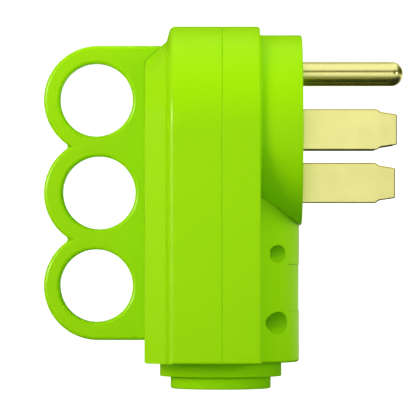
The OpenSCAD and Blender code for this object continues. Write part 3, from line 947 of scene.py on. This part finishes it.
@dataclass(frozen=True)
class ScrewSet:
    """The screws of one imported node, which lie along X."""

    node: str
    drive: Drive
    head_end: HeadEnd
    head_height: float
    shank_radius: float
    pitch: float
    thread_depth: float
    point: float
    wing_width: float
    wing_span: float
    wing_depth: float
    wing_draft: float = 0.3
    crown: float = 0.35
    crown_shares: tuple[float, ...] = (0.15, 0.4, 0.6, 0.8)
    head_edge: float = 0.35
    head_edge_steps: int = 5
    under_edge: float = 0.1
    tip_share: float = 0.35
    sides: int = 40
    steps_a_turn: int = 8

    def build(self, bench: Bench) -> bpy.types.Object:
        """Makes the node's screws, and returns them as one piece."""
        screws = joined(self.screw(box) for box in solid_boxes(bench.nodes[self.node]))
        return bench.add(f"{self.node}_threaded", screws, Slot.STEEL, self.node)

    def head(self, radius: float) -> list[Ring]:
        """Rings of the crowned head, from its top down to the shank.

        Args:
            radius: Radius of the head.

        Returns:
            Rings from the middle of the top to the head's underside.
        """
        flat = radius - self.head_edge
        top = [(self.crown * share**2, flat * share) for share in self.crown_shares]
        corner = (self.crown + self.head_edge, flat)
        turned = arc(corner, self.head_edge, 180.0, 90.0, self.head_edge_steps)
        side = (self.head_height - self.under_edge, radius)
        under = (self.head_height, radius - self.under_edge)
        return even([*top, *turned, side, under], self.sides)

    def thread(self, length: float) -> list[Ring]:
        """Rings of the threaded shank.

        Args:
            length: Length of the screw from the top of its head.

        Returns:
            Rings from the head's underside to the tip.
        """
        start = self.head_height
        count = math.ceil((length - start) / self.pitch * self.steps_a_turn)
        rings = []
        for i in range(count + 1):
            height = start + (length - start) * i / count
            ahead = length - height
            taper = min(1.0, self.tip_share + (1.0 - self.tip_share) * ahead / self.point)
            runout = min(1.0, (height - start) / self.pitch)
            radii = []
            for side in range(self.sides):
                phase = (height / self.pitch - side / self.sides) % 1.0
                groove = self.thread_depth * runout * (1.0 - abs(2.0 * phase - 1.0))
                radii.append((self.shank_radius - groove) * taper)
            rings.append((height, radii))
        return rings

    def cutters(self) -> list[bmesh.types.BMesh]:
        """Makes the bars that cut the drive into the head.

        Returns:
            One bar for a slot, or two crossed ones, with the top of the head at height 0.
        """
        bars = [wedge(self.wing_width, self.wing_span, self.wing_depth, self.wing_draft)]
        if self.drive is Drive.CROSS:
            bars.append(wedge(self.wing_span, self.wing_width, self.wing_depth, self.wing_draft))
        return bars

    def screw(self, box: Box) -> bmesh.types.BMesh:
        """Makes one screw in the place of a plain solid.

        Args:
            box: Lowest and highest corner of the solid, in metres.

        Returns:
            The screw in metres.
        """
        low, high = box
        front = self.head_end is HeadEnd.FRONT
        foot = Vector((high.x if front else low.x, (low.y + high.y) / 2, (low.z + high.z) / 2))
        radius = (high.y - low.y) / 2 / MM
        blank = lathed([*self.head(radius), *self.thread((high.x - low.x) / MM)])
        cut = carved(blank, self.cutters())
        return stood(cut, foot, Vector((-self.head_end.value, 0, 0)))


@dataclass
class Terminals(SubAssembly):
    """The insulating block with its lugs, plates, rivets and screws.

    The rise of a rivet's dome is in degrees from its top.
    """

    block: str = "terminal_block"
    lugs: tuple[str, ...] = ("hot_lug_x", "hot_lug_y", "neutral_lug", "ground_lug")
    plates: tuple[str, ...] = ("hot_plate_x", "hot_plate_y", "neutral_plate", "ground_plate")
    rivets: str = "blade_rivets"
    rivet_radius: float = 1.2
    rivet_head_height: float = 1.0
    rivet_rise: tuple[float, ...] = (15.0, 35.0, 55.0, 72.0, 90.0)
    rivet_sides: int = 32
    screws: tuple[ScrewSet, ...] = (
        ScrewSet(
            node="terminal_screws",
            drive=Drive.SLOT,
            head_end=HeadEnd.BACK,
            head_height=2.8,
            shank_radius=2.9,
            pitch=0.9,
            thread_depth=0.5,
            point=0.6,
            wing_width=1.0,
            wing_span=9.0,
            wing_depth=0.9,
            wing_draft=0.0,
        ),
        ScrewSet(
            node="block_screws",
            drive=Drive.SLOT,
            head_end=HeadEnd.BACK,
            head_height=2.0,
            shank_radius=1.5,
            pitch=1.1,
            thread_depth=0.35,
            point=1.5,
            wing_width=1.0,
            wing_span=6.0,
            wing_depth=0.9,
            wing_draft=0.0,
        ),
    )

    def build(self, bench: Bench) -> list[bpy.types.Object]:
        """Dresses the block, lugs and plates, and builds the rivets and screws.

        Args:
            bench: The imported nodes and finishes.

        Returns:
            All pieces of the terminals.
        """
        pieces = bench.keep(Slot.NYLON, self.block)
        pieces += bench.keep(Slot.LUG, *self.lugs)
        pieces += bench.keep(Slot.STEEL, *self.plates)
        rivets = joined(self.rivet(box) for box in solid_boxes(bench.nodes[self.rivets]))
        pieces.append(bench.add(f"{self.rivets}_domed", rivets, Slot.LUG, self.rivets))
        return pieces + [screws.build(bench) for screws in self.screws]

    def rivet(self, box: Box) -> bmesh.types.BMesh:
        """Makes one rivet with a dome at each end.

        Args:
            box: Lowest and highest corner of the plain rivet, in metres.

        Returns:
            The rivet in metres.
        """
        low, high = box
        foot = Vector(((low.x + high.x) / 2, low.y, (low.z + high.z) / 2))
        length = (high.y - low.y) / MM
        head = (high.x - low.x) / 2 / MM
        height = self.rivet_head_height
        rise = [math.radians(angle) for angle in self.rivet_rise]
        dome = [(height * (1.0 - math.cos(angle)), head * math.sin(angle)) for angle in rise]
        half = [*dome, (height, self.rivet_radius)]
        mirrored = [(length - along, radius) for along, radius in reversed(half)]
        return stood(lathed(even([*half, *mirrored], self.rivet_sides)), foot, Vector((0, 1, 0)))


@dataclass
class ShellScrews(SubAssembly):
    """The four screws in the front recesses that pull the shells together."""

    screws: tuple[ScrewSet, ...] = (
        ScrewSet(
            node="cover_screws",
            drive=Drive.CROSS,
            head_end=HeadEnd.FRONT,
            head_height=2.4,
            shank_radius=1.5,
            pitch=1.2,
            thread_depth=0.35,
            point=2.0,
            wing_width=0.8,
            wing_span=3.2,
            wing_depth=1.2,
        ),
        ScrewSet(
            node="clamp_screws",
            drive=Drive.CROSS,
            head_end=HeadEnd.FRONT,
            head_height=2.4,
            shank_radius=1.9,
            pitch=1.4,
            thread_depth=0.45,
            point=2.4,
            wing_width=0.9,
            wing_span=3.6,
            wing_depth=1.3,
        ),
    )

    def build(self, bench: Bench) -> list[bpy.types.Object]:
        """Builds both pairs of screws, and returns a piece for each pair."""
        return [screws.build(bench) for screws in self.screws]


@dataclass(frozen=True)
class SoftBox:
    """A panel of light, in metres, that faces the middle of the plug.

    A panel that fills lights matt faces, and one that is mirrored shows in glossy ones. Where
    it aims at a sub-assembly, it lights no other.
    """

    name: str
    place: Triple
    size: Span
    radiance: float
    tint: Colour = (1.0, 1.0, 1.0)
    fills: bool = True
    mirrored: bool = True
    aims_at: type[SubAssembly] | None = None

    def hang(self, target: Vector, built: Built) -> None:
        """Hangs the panel.

        Args:
            target: Point that it faces.
            built: Pieces of each sub-assembly.
        """
        light = bpy.data.lights.new(self.name, "AREA")
        light.shape = "RECTANGLE"
        light.size, light.size_y = self.size
        light.energy = self.radiance * math.pi * self.size[0] * self.size[1]
        light.color = self.tint
        panel = bpy.data.objects.new(self.name, light)
        panel.location = self.place
        panel.rotation_euler = (target - Vector(self.place)).to_track_quat("-Z", "Y").to_euler()
        panel.visible_camera = False
        panel.visible_diffuse = self.fills
        panel.visible_glossy = self.mirrored
        bpy.context.scene.collection.objects.link(panel)
        if self.aims_at:
            lit = bpy.data.collections.new(self.name)
            for piece in built[self.aims_at]:
                lit.objects.link(piece)
            panel.light_linking.receiver_collection = lit


@dataclass
class Studio:
    """Camera, pale floor and soft light, in metres."""

    camera_place: Triple = (-0.0038, -1.45, 0.054)
    lens: float = 418.3
    sensor: float = 36.0
    sight: float = 20.0
    transform: str = "Standard"
    look: str = "Medium High Contrast"
    floor_half: float = 4.0
    floor_shade: Colour = (0.02, 0.02, 0.02)
    floor_roughness: float = 0.9
    floor_seen: Colour = (0.97, 0.97, 0.97)
    floor_fill: Fade = ((0.18, 0.25, 0.2), (0.38, 0.48, 0.4))
    floor_mirrored: Fade = ((0.02, 0.02, 0.005), (0.8, 0.8, 0.7))
    floor_reach: Span = (0.08, 0.32)
    floor_pool: Triple = (0.35, 1.0, 1.0)
    room_seen: Colour = (1.0, 1.0, 1.0)
    room_fill: Fade = ((0.28, 0.37, 0.32), (0.08, 0.11, 0.1))
    room_mirrored: Colour = (0.09, 0.085, 0.01)
    room_turn: Span = (-0.5, 0.5)
    panels: tuple[SoftBox, ...] = (
        SoftBox("overhead_panel", (-0.35, 0.65, 1.5), (2.2, 2.6), 1.0, mirrored=False),
        SoftBox("overhead_gleam", (-0.15, 0.1, 1.6), (1.9, 3.3), 0.18, fills=False, aims_at=BodyShells),
        SoftBox("front_panel", (0.1, -1.7, 0.2), (2.2, 0.5), 0.72, mirrored=False),
        SoftBox("back_panel", (0.1, 1.7, 0.5), (2.2, 0.8), 1.5, mirrored=False),
        SoftBox("key_panel", (-0.39, -0.39, 0.15), (0.28, 0.26), 6.3, (1.0, 0.88, 0.7), mirrored=False),
        SoftBox("left_gleam", (-0.74, -0.52, 0.26), (0.24, 0.12), 100.0, fills=False, aims_at=BodyShells),
        SoftBox("right_panel", (1.2, -0.3, 0.85), (1.0, 1.0), 3.2, mirrored=False, aims_at=BodyShells),
        SoftBox("entry_panel", (1.1, -1.0, 0.1), (0.8, 0.6), 2.9, mirrored=False, aims_at=CordEntry),
        SoftBox("screw_gleam", (1.5, -0.3, 0.5), (1.4, 1.2), 0.9, fills=False, aims_at=ShellScrews),
        SoftBox("tip_panel", (1.1, -0.78, 0.25), (0.16, 0.16), 12.0, fills=False, aims_at=Prongs),
        SoftBox("prong_front", (-0.3, -1.85, 0.26), (2.2, 0.62), 0.9, fills=False, aims_at=Prongs),
        SoftBox("prong_top", (0.25, -0.44, 1.5), (2.7, 2.16), 0.88, fills=False, aims_at=Prongs),
        SoftBox("prong_back", (0.25, 1.45, 1.4), (2.7, 1.6), 0.55, fills=False, aims_at=Prongs),
        SoftBox("prong_rear", (0.2, 1.85, 0.26), (2.2, 0.62), 0.7, fills=False, aims_at=Prongs),
    )

    def set_up(self, built: Built) -> None:
        """Places the camera, the floor, the room and the panels.

        Args:
            built: Pieces of each sub-assembly.
        """
        self.add_camera()
        self.add_floor()
        self.light_room()
        low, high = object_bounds()
        for panel in self.panels:
            panel.hang((low + high) / 2, built)
        view = bpy.context.scene.view_settings
        view.view_transform = self.transform
        view.look = self.look

    def add_camera(self) -> None:
        """Stands the camera level, square to the plug's side."""
        view = bpy.data.cameras.new("camera")
        view.lens = self.lens
        view.sensor_width = self.sensor
        view.clip_end = self.sight
        camera = bpy.data.objects.new("camera", view)
        camera.location = self.camera_place
        camera.rotation_euler = (math.pi / 2, 0.0, 0.0)
        bpy.context.scene.collection.objects.link(camera)
        bpy.context.scene.camera = camera

    def add_floor(self) -> None:
        """Lays a pale floor that the eye sees brighter than the plug does."""
        mesh = bmesh.new()
        bmesh.ops.create_grid(mesh, x_segments=1, y_segments=1, size=self.floor_half)
        data = bpy.data.meshes.new("floor")
        mesh.to_mesh(data)
        mesh.free()
        floor = bpy.data.objects.new("floor", data)
        bpy.context.scene.collection.objects.link(floor)
        floor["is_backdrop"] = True
        material = bpy.data.materials.new("pale_floor")
        material.use_nodes = True
        data.materials.append(material)
        wiring = Wiring(material.node_tree)
        shader = material.node_tree.nodes["Principled BSDF"]
        # Towards the plug the floor glows as painted light, dimmer near it as a painted shadow and
        # brighter further off.
        place = {0: wiring.node("TexCoord").outputs["Object"], 1: self.floor_pool}
        pool = wiring.node("VectorMath", place, operation="MULTIPLY").outputs["Vector"]
        far = wiring.node("VectorMath", {0: pool}, operation="LENGTH").outputs["Value"]
        away = wiring.span(far, 0.0, 1.0, self.floor_reach)
        fill = wiring.blend(away, *self.floor_fill)
        mirrored = wiring.blend(away, *self.floor_mirrored)
        glow = self.tone(wiring, self.floor_seen, fill, mirrored)
        wiring.feed(shader.inputs["Emission Color"], glow)
        shader.inputs["Base Color"].default_value = (*self.floor_shade, 1.0)
        shader.inputs["Emission Strength"].default_value = 1.0
        shader.inputs["Roughness"].default_value = self.floor_roughness
        shader.inputs["Specular IOR Level"].default_value = 0.0

    def light_room(self) -> None:
        """Makes the room white to the eye and dim to the plug."""
        world = bpy.data.worlds.new("room")
        world.use_nodes = True
        bpy.context.scene.world = world
        wiring = Wiring(world.node_tree)
        towards = wiring.node("TexCoord").outputs["Generated"]
        depth = wiring.node("SeparateXYZ", {0: towards}).outputs["Y"]
        fill = wiring.blend(wiring.span(depth, 0.0, 1.0, self.room_turn), *self.room_fill)
        glow = self.tone(wiring, self.room_seen, fill, self.room_mirrored)
        wiring.feed(world.node_tree.nodes["Background"].inputs["Color"], glow)

    @staticmethod
    def tone(wiring: Wiring, seen: Source, fill: Source, mirrored: Source) -> bpy.types.NodeSocket:
        """Picks a colour for each kind of ray.

        Args:
            wiring: Tree to work in.
            seen: Colour that the camera sees.
            fill: Colour that lights the plug.
            mirrored: Colour that shows in glossy reflections.

        Returns:
            Socket with the colour.
        """
        paths = wiring.node("LightPath").outputs
        lit = wiring.blend(paths["Is Glossy Ray"], fill, mirrored)
        return wiring.blend(paths["Is Camera Ray"], lit, seen)


def main() -> None:
    """Builds the plug's sub-assemblies in order and stands them in the studio."""
    logging.basicConfig(level=logging.INFO, format="%(name)s: %(message)s")
    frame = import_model()
    effects = Effects()
    materials = {finish.slot: finish.material(effects) for finish in FINISHES}
    bench = Bench(frame["nodes"], materials)
    built: Built = {}
    for assembly in (BodyShells(), CordEntry(), Prongs(), Terminals(), ShellScrews()):
        kind = type(assembly)
        built[kind] = assembly.build(bench)
        for piece in built[kind]:
            LOG.info("%s: %s, %d faces", kind.__name__, piece.name, len(piece.data.polygons))
    Studio().set_up(built)


if __name__ == "__main__":
    main()
